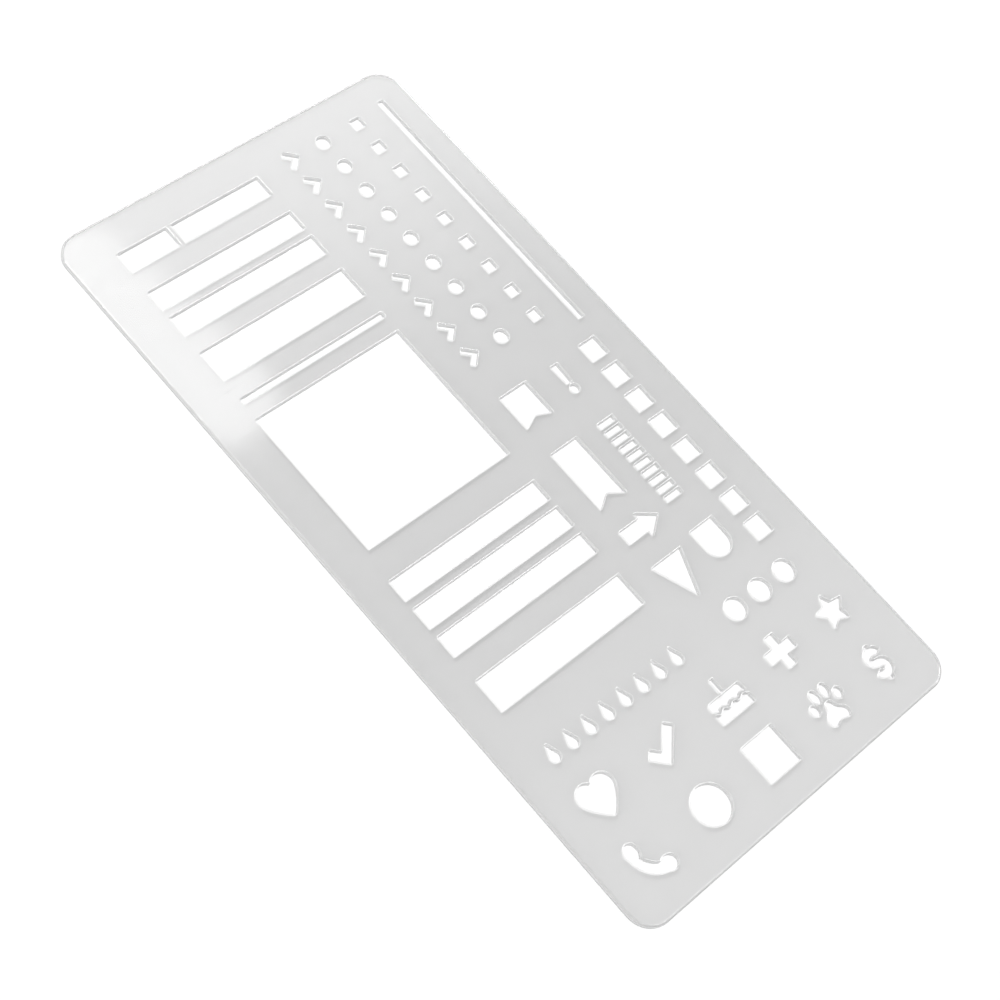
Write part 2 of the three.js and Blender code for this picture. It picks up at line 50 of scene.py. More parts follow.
# The camera, fitted to the sheet's four outer edges.
CAMERA_PLACE = (-232.76, -108.62, 400.02)
CAMERA_AZIMUTH = 24.244
CAMERA_PITCH = 58.219
CAMERA_ROLL = -27.128
CAMERA_LENS = 74.96
SENSOR_WIDTH = 36.0

# The edge of each cut: a low melted lip that rounds over into the wall. Before it is rounded, the
# rim stands higher by its rise.
LIP_WIDTH = 0.30
LIP_HEIGHT = 0.0826
RIM_RADIUS = 0.08
RIM_RISE = 0.0386
RIM_STEPS = 8
OUTER_LIP = 0.66
OUTER_RADIUS = 0.364
OUTER_RISE = 0.1511

# The easing of the openings' own corners.
CORNER_RADIUS = 0.15
CORNER_STEPS = 4
CORNER_TURN = 30.0

# How upright a face's normal is on a wall, on a lip and on a flat face.
STEEP_RISE = 0.5
WALL_RISE = 0.88
FLAT_RISE = 0.995

# How the solid's lines are found and the new surfaces are joined.
SLIVER_LENGTH = 0.05
COPLANAR_ANGLE = 0.5
RIM_ANGLE = 60.0
UPPER_SHARE = 0.75
OUTLINE_SHARE = 0.9
OPEN_EDGE_FACES = 1.5
WELD_DISTANCE = 0.002
CREASE_ANGLE = 35.0

# The plastic. A wall's clearness is how much of the view through the plastic it lets out, and its
# shade is how much light comes through it.
PLASTIC_IOR = 1.49
FACE_TINT = (0.640, 0.664)
FACE_ROUGHNESS = (0.04, 0.07)
FACE_SHADE = 0.97
MIRROR_LIMIT = 1.5
# The openings' lips are tinted much lighter than the faces. This is a painted highlight: a bright line
# along each cut where light gathers at the edge. The outer lip keeps about the faces' own tone.
HOLE_LIP_PAINTED_HIGHLIGHT_TINT = 0.90
OUTER_LIP_TINT = 0.66
LIP_ROUGHNESS = (0.20, 0.26)
# The outer edge's frost is darker than the openings'. This is painted shade, for a darker line along
# the sheet's outline.
HOLE_TINT = 0.74
OUTER_EDGE_PAINTED_SHADE_TINT = 0.60
WALL_FROST = 0.20
# A dense frost in a band at mid-height of the walls, and another at their rim, is painted shade. It
# makes dark lines along each cut, where the edge shades the light and bends it away. Only the light
# frost is the cut's own.
PAINTED_SHADE_BAND_FROST = 0.95
PAINTED_SHADE_BAND_HEIGHT = 0.55
PAINTED_SHADE_BAND_REACH = 0.50
PAINTED_SHADE_RIM_FROST = 0.90
PAINTED_SHADE_RIM_SPAN = (1.20, 1.40)
WALL_ROUGHNESS = (0.40, 0.60)
WALL_GLOSS = 0.03
HOLE_SHADE = 0.55
OUTER_SHADE = 0.75
HOLE_CLEARNESS = 0.90
OUTER_CLEARNESS = 0.55

# Wear and tool marks, as features per metre and depths in millimetres.
HAZE_SCALE = 45.0
HAZE_DETAIL = 3.0
HAZE_GRAIN = 0.55
WAVE_DEPTH = 0.02
SCRATCH_TURNS = (14.0, -41.0, 78.0)
SCRATCH_ALONG = 60.0
SCRATCH_ACROSS = 3200.0
SCRATCH_DETAIL = 1.0
SCRATCH_SHARE = (0.71, 0.78)
SCRATCH_DULLNESS = 0.20
LINES_ALONG = 130.0
LINES_ACROSS = 2600.0
LINES_DETAIL = 2.0
LINES_DEPTH = 0.03
LINES_SHADE = 0.14

# The table and the studio.
FLOOR_GAP = 0.06
FLOOR_SIZE = 6000.0
FLOOR_COLOUR = 0.60
FLOOR_GLOW = 0.38
WORLD_LEVEL = 0.55
KEY_PLACE = (0.20, 0.62, 1.12)
KEY_SIZE = 0.25
KEY_POWER = 10.0
FILL_PLACE = (-0.95, 0.10, 0.45)
FILL_SIZE = 0.5
FILL_POWER = 3.0

# The overhead light panel, laid out in millimetres on the sheet that mirrors it.
PANEL_HEIGHT = 1100.0
PANEL_SPAN = ((-200.0, 120.0), (-150.0, 120.0))
PANEL_STEP = 2.5
END_RAMP = (14.0, 104.0)
END_GLOW = 3.4
FRONT_RAMP = (-10.0, -100.0)
FRONT_FADE = (-110.0, -145.0)
FRONT_GLOW = 1.9
WINDOW_MIDDLE = (-46.4, 71.9)
WINDOW_REACH = (13.6, 34.5)
WINDOW_LEAN = -0.12
WINDOW_SQUARENESS = 4
WINDOW_SOFTNESS = 3.0
WINDOW_GLOW = 6.0
SMALLEST = 1e-9

# The long bright screen beyond the sheet's upper end, in metres, that the lips mirror.
SCREEN_ENDS = (0.36, 3.0)
SCREEN_TOP = (0.71, 1.10)
SCREEN_FOOT = (3.2, 0.40)
SCREEN_GLOW = 6.0


def new_group(name, kind, inputs, outputs):
    """A node group with named sockets, and its two end nodes."""
    tree = bpy.data.node_groups.new(name, kind)
    for label, socket, value in inputs:
        made = tree.interface.new_socket(label, in_out="INPUT", socket_type=socket)
        if value is not None:
            made.default_value = value
    for label, socket in outputs:
        tree.interface.new_socket(label, in_out="OUTPUT", socket_type=socket)
    return tree, tree.nodes.new("NodeGroupInput"), tree.nodes.new("NodeGroupOutput")


def add_node(tree, kind, settings=None, **inputs):
    """A node with its settings, and its inputs set to a value or linked to a socket."""
    node = tree.nodes.new(kind)
    for name, value in (settings or {}).items():
        setattr(node, name, value)
    for name, value in inputs.items():
        key = int(name[1:]) if name[0] == "i" and name[1:].isdigit() else name.replace("_", " ")
        put(tree, node.inputs[key], value)
    return node


def put(tree, socket, value):
    """Sets a socket to a value, or links one to it."""
    if isinstance(value, bpy.types.NodeSocket):
        tree.links.new(value, socket)
    else:
        socket.default_value = value


def maths(tree, operation, *values):
    """A Math node's result."""
    node = tree.nodes.new("ShaderNodeMath")
    node.operation = operation
    for socket, value in zip(node.inputs, values):
        put(tree, socket, value)
    return node.outputs[0]


def vectors(tree, operation, *values):
    """A Vector Math node's result."""
    node = tree.nodes.new("ShaderNodeVectorMath")
    node.operation = operation
    for socket, value in zip(node.inputs, values):
        put(tree, socket, value)
    return node.outputs["Value" if operation in ("DOT_PRODUCT", "LENGTH") else "Vector"]


def compare(tree, operation, first, second):
    """A yes or no field from two numbers."""
    node = tree.nodes.new("FunctionNodeCompare")
    node.data_type = "FLOAT"
    node.operation = operation
    put(tree, node.inputs[0], first)
    put(tree, node.inputs[1], second)
    return node.outputs[0]


def both(tree, first, second):
    """Yes where both fields say yes."""
    node = tree.nodes.new("FunctionNodeBooleanMath")
    node.operation = "AND"
    put(tree, node.inputs[0], first)
    put(tree, node.inputs[1], second)
    return node.outputs[0]


def part_of(tree, vector, axis):
    """One coordinate of a vector."""
    return add_node(tree, "ShaderNodeSeparateXYZ", Vector=vector).outputs[axis]


def on_domain(tree, kind, domain, value):
    """A field worked out on the points or the faces."""
    settings = {"data_type": kind, "domain": domain}
    return add_node(tree, "GeometryNodeFieldOnDomain", settings, i0=value).outputs[0]


def stored(tree, geometry, domain, kind, name, value):
    """A geometry that keeps the values of a field, and the kept field."""
    node = tree.nodes.new("GeometryNodeCaptureAttribute")
    node.domain = domain
    node.capture_items.new(kind, name)
    put(tree, node.inputs["Geometry"], geometry)
    put(tree, node.inputs[name], value)
    return node.outputs["Geometry"], node.outputs[name]


def join(tree, parts):
    """Several geometries made one."""
    node = tree.nodes.new("GeometryNodeJoinGeometry")
    for part in parts:
        tree.links.new(part, node.inputs[0])
    return node.outputs[0]


def sharpened(tree, geometry, domain, chosen):
    """A mesh that is shaded flat at the chosen faces or edges."""
    return add_node(
        tree,
        "GeometryNodeSetShadeSmooth",
        {"domain": domain},
        Geometry=geometry,
        Selection=chosen,
        Shade_Smooth=False,
    ).outputs[0]


def set_camera():
    """The camera at the photograph's viewing angle."""
    azimuth = math.radians(CAMERA_AZIMUTH)
    pitch = math.radians(CAMERA_PITCH)
    roll = math.radians(CAMERA_ROLL)
    level = math.cos(pitch)
    forward = Vector((level * math.cos(azimuth), level * math.sin(azimuth), -math.sin(pitch)))
    right = forward.cross(UP).normalized()
    down = forward.cross(right)
    across = right * math.cos(roll) + down * math.sin(roll)
    along = down * math.cos(roll) - right * math.sin(roll)
    turn = Matrix((across, -along, -forward)).transposed()
    lens = bpy.data.cameras.new("camera")
    lens.lens = CAMERA_LENS
    lens.sensor_width = SENSOR_WIDTH
    camera = bpy.data.objects.new("camera", lens)
    camera.matrix_world = Matrix.Translation(Vector(CAMERA_PLACE) * MM) @ turn.to_4x4()
    bpy.context.scene.collection.objects.link(camera)
    bpy.context.scene.camera = camera


def sheet_tree():
    """Sweeps the lip and wall along every cut line of the sheet, and fills both faces."""
    tree, start, end = new_group(
        "cut_sheet",
        "GeometryNodeTree",
        [
            ("Sheet", "NodeSocketGeometry", None),
            ("Thickness", "NodeSocketFloat", 0.0015),
            ("Lip Width", "NodeSocketFloat", 0.0003),
            ("Lip Height", "NodeSocketFloat", 0.00003),
            ("Rim Radius", "NodeSocketFloat", 0.0001),
            ("Rim Rise", "NodeSocketFloat", 0.00004),
            ("Outer Lip", "NodeSocketFloat", 0.0005),
            ("Outer Radius", "NodeSocketFloat", 0.0003),
            ("Outer Rise", "NodeSocketFloat", 0.0001),
            ("Rim Steps", "NodeSocketInt", 4),
            ("Corner Radius", "NodeSocketFloat", 0.0001),
            ("Corner Steps", "NodeSocketInt", 4),
            ("Weld", "NodeSocketFloat", 0.000002),
            ("Face Material", "NodeSocketMaterial", None),
            ("Wall Material", "NodeSocketMaterial", None),
            ("Lip Material", "NodeSocketMaterial", None),
            ("Outer Material", "NodeSocketMaterial", None),
            ("Outer Lip Material", "NodeSocketMaterial", None),
        ],
        [("Sheet", "NodeSocketGeometry")],
    )
    size = start.outputs
    position = add_node(tree, "GeometryNodeInputPosition").outputs[0]
    height = part_of(tree, position, "Z")
    normal = add_node(tree, "GeometryNodeInputNormal").outputs[0]
    normal_rise = maths(tree, "ABSOLUTE", part_of(tree, normal, "Z"))
    edge_angle = add_node(tree, "GeometryNodeInputMeshEdgeAngle").outputs["Unsigned Angle"]
    lines = cut_lines(tree, size, height, normal, normal_rise, edge_angle)
    lines = eased_corners(tree, size, lines, position)
    lines = add_node(tree, "GeometryNodeSetCurveNormal", {"mode": "Z_UP"}, Curve=lines).outputs[0]

    # The longest line is the sheet's own outline.
    length = add_node(tree, "GeometryNodeSplineLength").outputs["Length"]
    longest = add_node(
        tree, "GeometryNodeAttributeStatistic", {"domain": "CURVE"}, Geometry=lines, i2=length
    ).outputs["Max"]
    long = compare(tree, "GREATER_THAN", length, maths(tree, "MULTIPLY", longest, OUTLINE_SHARE))
    lines, outer = stored(tree, lines, "CURVE", "BOOLEAN", "Outer", long)
    parted = add_node(
        tree, "GeometryNodeSeparateGeometry", {"domain": "CURVE"}, Geometry=lines, Selection=outer
    ).outputs
    edges = []
    for name, width, radius, rise in (
        ("Inverted", "Lip Width", "Rim Radius", "Rim Rise"),
        ("Selection", "Outer Lip", "Outer Radius", "Outer Rise"),
    ):
        edges.append(edge_strip(tree, size, parted[name], size[width], size[radius], size[rise]))
    strips = join(tree, edges)

    # Both faces fill the strips' open edges.
    neighbours = add_node(tree, "GeometryNodeInputMeshEdgeNeighbors").outputs["Face Count"]
    open_edge = compare(tree, "LESS_THAN", neighbours, OPEN_EDGE_FACES)
    middle = maths(tree, "MULTIPLY", size["Thickness"], 0.5)
    above = both(tree, open_edge, compare(tree, "GREATER_THAN", height, middle))
    below = both(tree, open_edge, compare(tree, "LESS_THAN", height, middle))
    upper_level = maths(tree, "SUBTRACT", size["Thickness"], size["Lip Height"])
    upper_face = flat_face(tree, strips, above, position, upper_level)
    lower_face = flat_face(tree, strips, below, position, 0.0)
    lower_face = add_node(tree, "GeometryNodeFlipFaces", Mesh=lower_face).outputs[0]
    parts = [sharpened(tree, face, "FACE", True) for face in (upper_face, lower_face)]
    parts.append(strips)
    whole = add_node(
        tree, "GeometryNodeMergeByDistance", Geometry=join(tree, parts), Distance=size["Weld"]
    ).outputs[0]
    crease = compare(tree, "GREATER_THAN", edge_angle, math.radians(CREASE_ANGLE))
    whole = sharpened(tree, whole, "EDGE", crease)

    # The faces lie flat, the lips slope a little, and the rest is wall.
    sloping = compare(tree, "LESS_THAN", normal_rise, FLAT_RISE)
    wall = compare(tree, "LESS_THAN", normal_rise, WALL_RISE)
    lip = both(tree, sloping, compare(tree, "GREATER_THAN", normal_rise, WALL_RISE))
    whole = sharpened(tree, whole, "FACE", lip)
    whole = add_node(tree, "GeometryNodeRealizeInstances", Geometry=whole).outputs[0]
    for chosen, name in (
        (True, "Face Material"),
        (sloping, "Lip Material"),
        (both(tree, sloping, outer), "Outer Lip Material"),
        (wall, "Wall Material"),
        (both(tree, wall, outer), "Outer Material"),
    ):
        whole = add_node(
            tree, "GeometryNodeSetMaterial", Geometry=whole, Selection=chosen, Material=size[name]
        ).outputs[0]
    tree.links.new(whole, end.inputs[0])
    return tree


def cut_lines(tree, size, height, normal, normal_rise, edge_angle):
    """The sharp edges of the upper face, each turned so that the plastic is on its left."""
    steep = compare(tree, "LESS_THAN", normal_rise, STEEP_RISE)
    wall_normal = on_domain(tree, "FLOAT_VECTOR", "FACE", vectors(tree, "MULTIPLY", normal, steep))
    sheet, outward = stored(tree, size["Sheet"], "POINT", "VECTOR", "Outward", wall_normal)
    sharp = compare(tree, "GREATER_THAN", edge_angle, math.radians(RIM_ANGLE))
    upper_height = maths(tree, "MULTIPLY", size["Thickness"], UPPER_SHARE)
    chosen = both(tree, sharp, compare(tree, "GREATER_THAN", height, upper_height))
    lines = add_node(tree, "GeometryNodeMeshToCurve", Mesh=sheet, Selection=chosen).outputs[0]
    tangent = add_node(tree, "GeometryNodeInputTangent").outputs[0]
    side = vectors(tree, "CROSS_PRODUCT", tangent, tuple(UP))
    facing = on_domain(tree, "FLOAT", "POINT", vectors(tree, "DOT_PRODUCT", side, outward))
    backward = compare(tree, "LESS_THAN", facing, 0.0)
    return add_node(tree, "GeometryNodeReverseCurve", Curve=lines, Selection=backward).outputs[0]


def eased_corners(tree, size, lines, position):
    """Makes the openings' own corners a little round, so that the lips keep their width beside them."""
    steps = []
    for offset in (-1, 1):
        other = add_node(tree, "GeometryNodeOffsetPointInCurve", Offset=offset).outputs["Point Index"]
        place = add_node(
            tree, "GeometryNodeFieldAtIndex", {"data_type": "FLOAT_VECTOR"}, Value=position, Index=other
        ).outputs[0]
        steps.append(vectors(tree, "NORMALIZE", vectors(tree, "SUBTRACT", place, position)))
    bend = part_of(tree, vectors(tree, "CROSS_PRODUCT", *steps), "Z")
    corner = compare(tree, "GREATER_THAN", bend, math.sin(math.radians(CORNER_TURN)))
    return add_node(
        tree,
        "GeometryNodeFilletCurve",
        {"mode": "POLY"},
        Curve=lines,
        Count=maths(tree, "MULTIPLY", corner, size["Corner Steps"]),
        Radius=size["Corner Radius"],
        Limit_Radius=True,
    ).outputs[0]


def edge_strip(tree, size, lines, width, radius, rise):
    """The lip, rim and wall along some lines, from the upper face round to the lower one."""
    inset = maths(tree, "MULTIPLY", width, -1.0)
    top = maths(tree, "MULTIPLY", rise, -1.0)
    corners = []
    for across, down in (
        (inset, size["Lip Height"]),
        (0.0, top),
        (0.0, size["Thickness"]),
        (inset, size["Thickness"]),
    ):
        corners.append(add_node(tree, "ShaderNodeCombineXYZ", X=across, Y=down).outputs[0])
    section = add_node(
        tree,
        "GeometryNodeCurvePrimitiveQuadrilateral",
        {"mode": "POINTS"},
        Point_1=corners[0],
        Point_2=corners[1],
        Point_3=corners[2],
        Point_4=corners[3],
    ).outputs[0]
    opened = add_node(tree, "GeometryNodeSetSplineCyclic", Geometry=section, Cyclic=False).outputs[0]
    rounded = add_node(
        tree,
        "GeometryNodeFilletCurve",
        {"mode": "POLY"},
        Curve=opened,
        Count=size["Rim Steps"],
        Radius=radius,
    ).outputs[0]
    return add_node(tree, "GeometryNodeCurveToMesh", Curve=lines, Profile_Curve=rounded).outputs[0]


def flat_face(tree, strips, chosen, position, level):
    """A flat face at a level, inside the chosen edges of the strips."""
    outline = add_node(tree, "GeometryNodeMeshToCurve", Mesh=strips, Selection=chosen).outputs[0]
    filled = add_node(tree, "GeometryNodeFillCurve", {"mode": "TRIANGLES"}, Curve=outline).outputs[0]
    place = add_node(
        tree,
        "ShaderNodeCombineXYZ",
        X=part_of(tree, position, "X"),
        Y=part_of(tree, position, "Y"),
        Z=level,
    ).outputs[0]
    return add_node(tree, "GeometryNodeSetPosition", Geometry=filled, Position=place).outputs[0]


def merged_copy(node):
    """A copy of a solid's mesh with its triangles joined up and its flat faces made whole."""
    mesh = bpy.data.meshes.new(node.name + "_lines")
    shape = bmesh.new()
    shape.from_mesh(node.data)
    bmesh.ops.remove_doubles(shape, verts=shape.verts, dist=SLIVER_LENGTH * MM)
    bmesh.ops.dissolve_limit(
        shape, angle_limit=math.radians(COPLANAR_ANGLE), verts=shape.verts, edges=shape.edges
    )
    shape.to_mesh(mesh)
    shape.free()
    return mesh


def plain_mesh(name, mesh, tree, values):
    """An object whose mesh is what the node tree makes of the given one."""
    maker = bpy.data.objects.new(name + "_maker", mesh)
    bpy.context.scene.collection.objects.link(maker)
    modifier = maker.modifiers.new(name, "NODES")
    modifier.node_group = tree
    for item in tree.interface.items_tree:
        if item.in_out == "INPUT" and item.name in values:
            modifier[item.identifier] = values[item.name]
    result = maker.evaluated_get(bpy.context.evaluated_depsgraph_get())
    made = bpy.data.meshes.new_from_object(result)
    bpy.data.objects.remove(maker)
    made.name = name

    # The first material slot is left empty by the node tree.
    made.materials.pop(index=0)
    piece = bpy.data.objects.new(name, made)
    bpy.context.scene.collection.objects.link(piece)
    return piece


def new_material(name):
    """An empty node material and its output node."""
    material = bpy.data.materials.new(name)
    material.use_nodes = True
    tree = material.node_tree
    tree.nodes.clear()
    return material, tree, tree.nodes.new("ShaderNodeOutputMaterial")


def soft_light(tree, path):
    """1 for shadow and bounce light, and 0 for what is seen or mirrored."""
    return maths(tree, "MAXIMUM", path["Is Shadow Ray"], path["Is Diffuse Ray"])


def let_light_through(tree, surface, tint):
    """Lets shadow and bounce light, and light mirrored about inside, go straight through a surface."""
    path = add_node(tree, "ShaderNodeLightPath").outputs
    trapped = maths(tree, "GREATER_THAN", path["Glossy Depth"], MIRROR_LIMIT)
    passing = maths(tree, "MAXIMUM", soft_light(tree, path), trapped)
    through = add_node(tree, "ShaderNodeBsdfTransparent", Color=tint).outputs[0]
    return add_node(tree, "ShaderNodeMixShader", i0=passing, i1=surface, i2=through).outputs[0]


def grey(level):
    """A neutral colour."""
    return (level, level, level, 1.0)


def spread(tree, share, span):
    """A number that runs over a span as a share runs from 0 to 1."""
    return add_node(tree, "ShaderNodeMapRange", Value=share, To_Min=span[0], To_Max=span[1]).outputs[0]


def wear_group():
    """Soft haze and hairline scratches on a handled plastic surface."""
    tree, start, end = new_group(
        "surface_wear",
        "ShaderNodeTree",
        [("Place", "NodeSocketVector", None)],
        [("Haze", "NodeSocketFloat"), ("Scratches", "NodeSocketFloat")],
    )
    place = start.outputs["Place"]
    haze = add_node(
        tree,
        "ShaderNodeTexNoise",
        Vector=place,
        Scale=HAZE_SCALE,
        Detail=HAZE_DETAIL,
        Roughness=HAZE_GRAIN,
    ).outputs[0]
    scratches = 0.0
    for turn in SCRATCH_TURNS:
        mapped = add_node(
            tree,
            "ShaderNodeMapping",
            Vector=place,
            Rotation=(0.0, 0.0, math.radians(turn)),
            Scale=(SCRATCH_ALONG, SCRATCH_ACROSS, 1.0),
        ).outputs[0]
        streaks = add_node(
            tree, "ShaderNodeTexNoise", Vector=mapped, Scale=1.0, Detail=SCRATCH_DETAIL
        ).outputs[0]
        hairlines = add_node(
            tree,
            "ShaderNodeMapRange",
            Value=streaks,
            From_Min=SCRATCH_SHARE[0],
            From_Max=SCRATCH_SHARE[1],
        ).outputs[0]
        scratches = maths(tree, "MAXIMUM", hairlines, scratches)
    put(tree, end.inputs["Haze"], haze)
    put(tree, end.inputs["Scratches"], scratches)
    return tree


def lines_group():
    """The upright lines that a laser leaves on the wall of a cut."""
    tree, start, end = new_group(
        "laser_lines",
        "ShaderNodeTree",
        [("Place", "NodeSocketVector", None)],
        [("Lines", "NodeSocketFloat")],
    )
    mapped = add_node(
        tree,
        "ShaderNodeMapping",
        Vector=start.outputs["Place"],
        Scale=(LINES_ACROSS, LINES_ACROSS, LINES_ALONG),
    ).outputs[0]
    lines = add_node(tree, "ShaderNodeTexNoise", Vector=mapped, Scale=1.0, Detail=LINES_DETAIL)
    put(tree, end.inputs["Lines"], lines.outputs[0])
    return tree


def group_node(tree, group, place):
    """A node group at work in a material."""
    return add_node(tree, "ShaderNodeGroup", {"node_tree": group}, Place=place).outputs


def object_place(tree):
    """Object coordinates."""
    return add_node(tree, "ShaderNodeTexCoord").outputs["Object"]


def bumped(tree, height, depth):
    """A normal from a height, at a depth in millimetres."""
    return add_node(tree, "ShaderNodeBump", Height=height, Distance=depth * MM).outputs[0]


def face_plastic(wear):
    """The clear polished faces, faintly hazed and scratched by use."""
    material, tree, output = new_material("clear_face")
    marks = group_node(tree, wear, object_place(tree))
    dull = spread(tree, marks["Haze"], FACE_ROUGHNESS)
    surface = add_node(
        tree,
        "ShaderNodeBsdfPrincipled",
        Base_Color=spread(tree, marks["Haze"], FACE_TINT),
        Roughness=maths(tree, "MULTIPLY_ADD", marks["Scratches"], SCRATCH_DULLNESS, dull),
        IOR=PLASTIC_IOR,
        Transmission_Weight=1.0,
        Normal=bumped(tree, marks["Haze"], WAVE_DEPTH),
    ).outputs[0]
    put(tree, output.inputs["Surface"], let_light_through(tree, surface, grey(FACE_SHADE)))
    return material


def melted_lip(name, wear, tint):
    """A lip that the laser left along a cut, in the given tint; on the openings the tint is lighter
    than the faces, a painted highlight.
    """
    material, tree, output = new_material(name)
    marks = group_node(tree, wear, object_place(tree))
    surface = add_node(
        tree,
        "ShaderNodeBsdfPrincipled",
        Base_Color=grey(tint),
        Roughness=spread(tree, marks["Haze"], LIP_ROUGHNESS),
        IOR=PLASTIC_IOR,
        Transmission_Weight=1.0,
    ).outputs[0]
    put(tree, output.inputs["Surface"], let_light_through(tree, surface, grey(FACE_SHADE)))
    return material


def cut_wall(name, laser, tint, clearness, shade):
    """A wall of a cut: clear, with a light frost of its own, and a dense frost in a band and at the
    rim, painted shade that only shows from outside.
    """
    material, tree, output = new_material(name)
    place = object_place(tree)
    lines = group_node(tree, laser, place)["Lines"]
    height = part_of(tree, place, "Z")
    away = maths(tree, "ABSOLUTE", maths(tree, "SUBTRACT", height, PAINTED_SHADE_BAND_HEIGHT * MM))
    # The dense frost at the band and at the rim is painted shade: dark lines along the cut.
    clear = 1.0
    for value, span, ends in (
        (away, (0.0, PAINTED_SHADE_BAND_REACH), (PAINTED_SHADE_BAND_FROST, WALL_FROST)),
        (height, PAINTED_SHADE_RIM_SPAN, (WALL_FROST, PAINTED_SHADE_RIM_FROST)),
    ):
        layer = add_node(
            tree,
            "ShaderNodeMapRange",
            {"interpolation_type": "SMOOTHSTEP"},
            Value=value,
            From_Min=span[0] * MM,
            From_Max=span[1] * MM,
            To_Min=1.0 - ends[0],
            To_Max=1.0 - ends[1],
        ).outputs[0]
        clear = maths(tree, "MINIMUM", layer, clear)
    uneven = spread(tree, lines, (1.0 - LINES_SHADE, 1.0 + LINES_SHADE))
    frost_and_painted_shade = add_node(
        tree,
        "ShaderNodeBsdfPrincipled",
        Base_Color=maths(tree, "MULTIPLY", uneven, tint),
        Roughness=spread(tree, lines, WALL_ROUGHNESS),
        Specular_IOR_Level=WALL_GLOSS,
        Normal=bumped(tree, lines, LINES_DEPTH),
    ).outputs[0]
    passing = soft_light(tree, add_node(tree, "ShaderNodeLightPath").outputs)
    behind = add_node(tree, "ShaderNodeNewGeometry").outputs["Backfacing"]
    dimmed = maths(tree, "MULTIPLY_ADD", maths(tree, "MULTIPLY", behind, passing), shade - 1.0, 1.0)
    through = add_node(tree, "ShaderNodeBsdfTransparent", Color=dimmed).outputs[0]
    seen = add_node(tree, "ShaderNodeMix", i0=behind, i2=clear, i3=clearness).outputs[0]
    passed = maths(tree, "MAXIMUM", seen, passing)
    surface = add_node(tree, "ShaderNodeMixShader", i0=passed, i1=frost_and_painted_shade, i2=through).outputs[0]
    put(tree, output.inputs["Surface"], surface)
    return material


def lay_floor():
    """A white table that stays white on the picture and still takes the sheet's shadow."""
    mesh = bpy.data.meshes.new("table")
    shape = bmesh.new()
    bmesh.ops.create_grid(shape, x_segments=2, y_segments=2, size=FLOOR_SIZE / 2 * MM)
    shape.to_mesh(mesh)
    shape.free()
    floor = bpy.data.objects.new("table", mesh)
    floor.location.z = -FLOOR_GAP * MM
    bpy.context.scene.collection.objects.link(floor)
    material, tree, output = new_material("table_white")
    path = add_node(tree, "ShaderNodeLightPath").outputs
    outside = maths(tree, "MAXIMUM", path["Is Camera Ray"], path["Is Glossy Ray"])
    seen = maths(tree, "MAXIMUM", outside, path["Is Transmission Ray"])
    strength = maths(tree, "MULTIPLY", seen, FLOOR_GLOW)
    glow = add_node(tree, "ShaderNodeEmission", Strength=strength).outputs[0]
    paper = add_node(tree, "ShaderNodeBsdfDiffuse", Color=grey(FLOOR_COLOUR)).outputs[0]
    surface = add_node(tree, "ShaderNodeAddShader", i0=glow, i1=paper).outputs[0]
    put(tree, output.inputs["Surface"], surface)
    mesh.materials.append(material)


def set_light():
    """A white studio: an even dome, a soft lamp beyond the sheet's upper end and a weaker one."""
    world = bpy.data.worlds.new("studio")
    bpy.context.scene.world = world
    world.use_nodes = True
    tree = world.node_tree
    path = add_node(tree, "ShaderNodeLightPath").outputs
    level = add_node(tree, "ShaderNodeMix", i0=path["Is Camera Ray"], i2=WORLD_LEVEL, i3=1.0).outputs[0]
    put(tree, tree.nodes["Background"].inputs["Strength"], level)
    put(tree, tree.nodes["Background"].inputs["Color"], grey(1.0))
    hang_lamp("key", KEY_PLACE, KEY_SIZE, KEY_POWER)
    hang_lamp("fill", FILL_PLACE, FILL_SIZE, FILL_POWER)


def hang_lamp(name, place, size, power):
    """A square soft lamp aimed at the sheet."""
    light = bpy.data.lights.new(name, "AREA")
    light.size = size
    light.energy = power
    lamp = bpy.data.objects.new(name, light)
    lamp.location = place
    lamp.rotation_mode = "QUATERNION"
    lamp.rotation_quaternion = Vector(place).to_track_quat("Z", "Y")
    bpy.context.scene.collection.objects.link(lamp)


def ramp(value, span):
    """0 at the start of a span and 1 at its end, smooth between."""
    share = min(max((value - span[0]) / (span[1] - span[0]), 0.0), 1.0)
    return share * share * (3.0 - 2.0 * share)


def panel_glow(x, y):
    """How bright the panel is where the sheet mirrors it at x, y."""
    end = END_GLOW * ramp(y, END_RAMP)
    front = FRONT_GLOW * ramp(y, FRONT_RAMP) * (1.0 - ramp(y, FRONT_FADE))
    middle = WINDOW_MIDDLE[0] + WINDOW_LEAN * (y - WINDOW_MIDDLE[1])
    across = (abs(x - middle) / WINDOW_REACH[0]) ** WINDOW_SQUARENESS
    along = (abs(y - WINDOW_MIDDLE[1]) / WINDOW_REACH[1]) ** WINDOW_SQUARENESS
    away = (across + along) ** (1.0 / WINDOW_SQUARENESS)
    reach = (across * WINDOW_REACH[0] + along * WINDOW_REACH[1]) / max(across + along, SMALLEST)
    window = ramp((1.0 - away) * reach, (-WINDOW_SOFTNESS, WINDOW_SOFTNESS))
    return front + end + max(WINDOW_GLOW - end, 0.0) * window


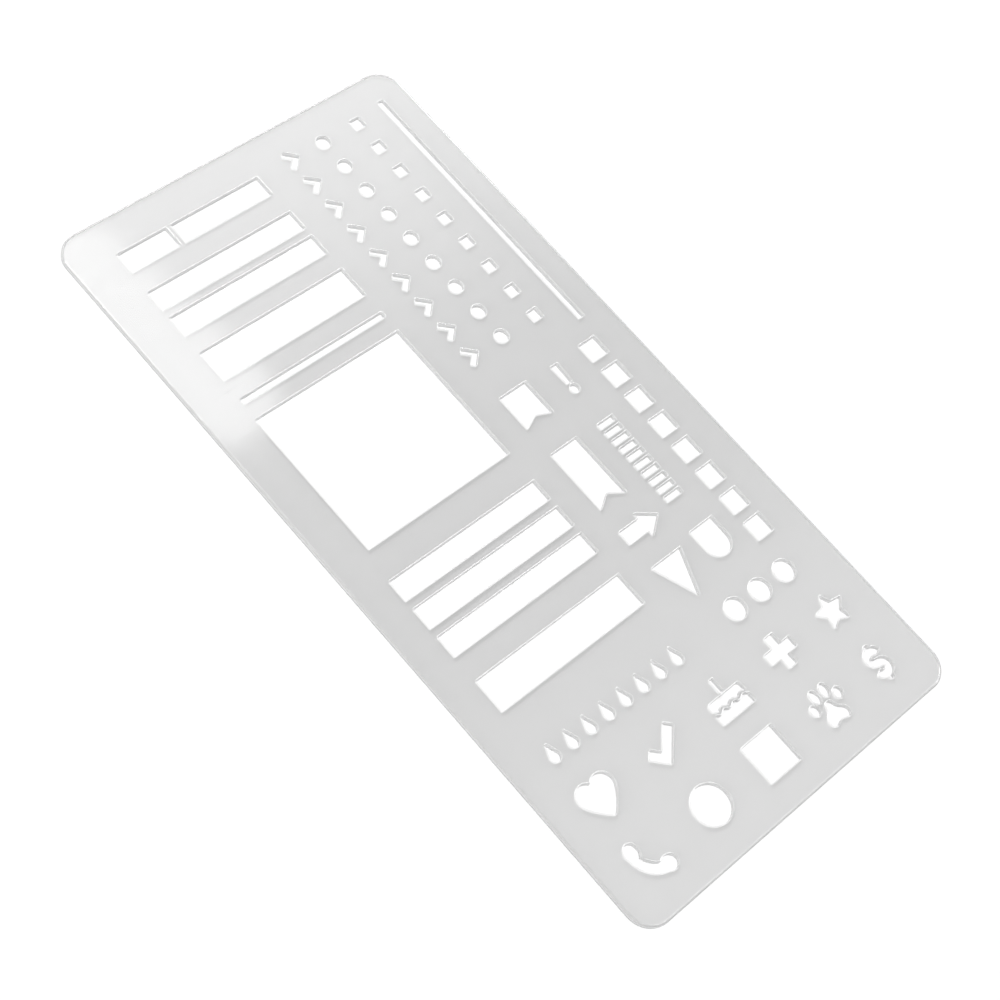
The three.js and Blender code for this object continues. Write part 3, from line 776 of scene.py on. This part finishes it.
def hang_panel():
    """A softly graded light panel overhead, placed where the sheet mirrors it to the camera."""
    (left, right), (front, back) = PANEL_SPAN
    columns = round((right - left) / PANEL_STEP)
    rows = round((back - front) / PANEL_STEP)
    eye_x, eye_y, eye_z = CAMERA_PLACE
    reach = PANEL_HEIGHT / eye_z
    points = []
    glows = []
    for row in range(rows + 1):
        y = front + row * PANEL_STEP
        for column in range(columns + 1):
            x = left + column * PANEL_STEP
            points.append(Vector((x + (x - eye_x) * reach, y + (y - eye_y) * reach, PANEL_HEIGHT)) * MM)
            glows.append(panel_glow(x, y))
    faces = []
    for row in range(rows):
        for column in range(columns):
            corner = row * (columns + 1) + column
            faces.append((corner, corner + columns + 1, corner + columns + 2, corner + 1))
    hang_glow("light_panel", points, faces, glows)


def hang_screen():
    """A long bright screen beyond the sheet's upper end, which shows in the lips only."""
    points = []
    for y, z in (SCREEN_TOP, SCREEN_FOOT):
        for x in SCREEN_ENDS:
            points.append((x, y, z))
    hang_glow("light_screen", points, [(0, 2, 3, 1)], [SCREEN_GLOW] * len(points))


def hang_glow(name, points, faces, glows):
    """A glowing mesh that only shows where a smooth surface mirrors it."""
    mesh = bpy.data.meshes.new(name)
    mesh.from_pydata(points, [], faces)
    mesh.attributes.new("glow", "FLOAT", "POINT").data.foreach_set("value", glows)
    panel = bpy.data.objects.new(name, mesh)
    bpy.context.scene.collection.objects.link(panel)
    panel.visible_camera = False
    panel.visible_shadow = False
    panel.visible_diffuse = False
    panel.visible_transmission = False
    material, tree, output = new_material(name)
    level = add_node(tree, "ShaderNodeAttribute", {"attribute_name": "glow"}).outputs["Fac"]
    light = add_node(tree, "ShaderNodeEmission", Strength=level).outputs[0]
    clear = add_node(tree, "ShaderNodeBsdfTransparent").outputs[0]
    surface = add_node(tree, "ShaderNodeAddShader", i0=light, i1=clear).outputs[0]
    put(tree, output.inputs["Surface"], surface)
    mesh.materials.append(material)


bpy.context.scene.view_settings.view_transform = "Standard"
set_camera()
lay_floor()
set_light()
hang_panel()
hang_screen()

wear = wear_group()
laser = lines_group()
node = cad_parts["stencil_sheet"]
low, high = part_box("stencil_sheet")
sheet = plain_mesh(
    "sheet",
    merged_copy(node),
    sheet_tree(),
    {
        "Thickness": high.z - low.z,
        "Lip Width": LIP_WIDTH * MM,
        "Lip Height": LIP_HEIGHT * MM,
        "Rim Radius": RIM_RADIUS * MM,
        "Rim Rise": RIM_RISE * MM,
        "Outer Lip": OUTER_LIP * MM,
        "Outer Radius": OUTER_RADIUS * MM,
        "Outer Rise": OUTER_RISE * MM,
        "Rim Steps": RIM_STEPS,
        "Corner Radius": CORNER_RADIUS * MM,
        "Corner Steps": CORNER_STEPS,
        "Weld": WELD_DISTANCE * MM,
        "Face Material": face_plastic(wear),
        # The openings' lips are lighter than the faces: a painted highlight.
        "Lip Material": melted_lip("melted_lip", wear, HOLE_LIP_PAINTED_HIGHLIGHT_TINT),
        "Outer Lip Material": melted_lip("outer_lip", wear, OUTER_LIP_TINT),
        "Wall Material": cut_wall("laser_cut_wall", laser, HOLE_TINT, HOLE_CLEARNESS, HOLE_SHADE),
        # The outer edge's darker frost is painted shade.
        "Outer Material": cut_wall("outer_edge", laser, OUTER_EDGE_PAINTED_SHADE_TINT, OUTER_CLEARNESS, OUTER_SHADE),
    },
)
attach(sheet, "root")
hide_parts("stencil_sheet")
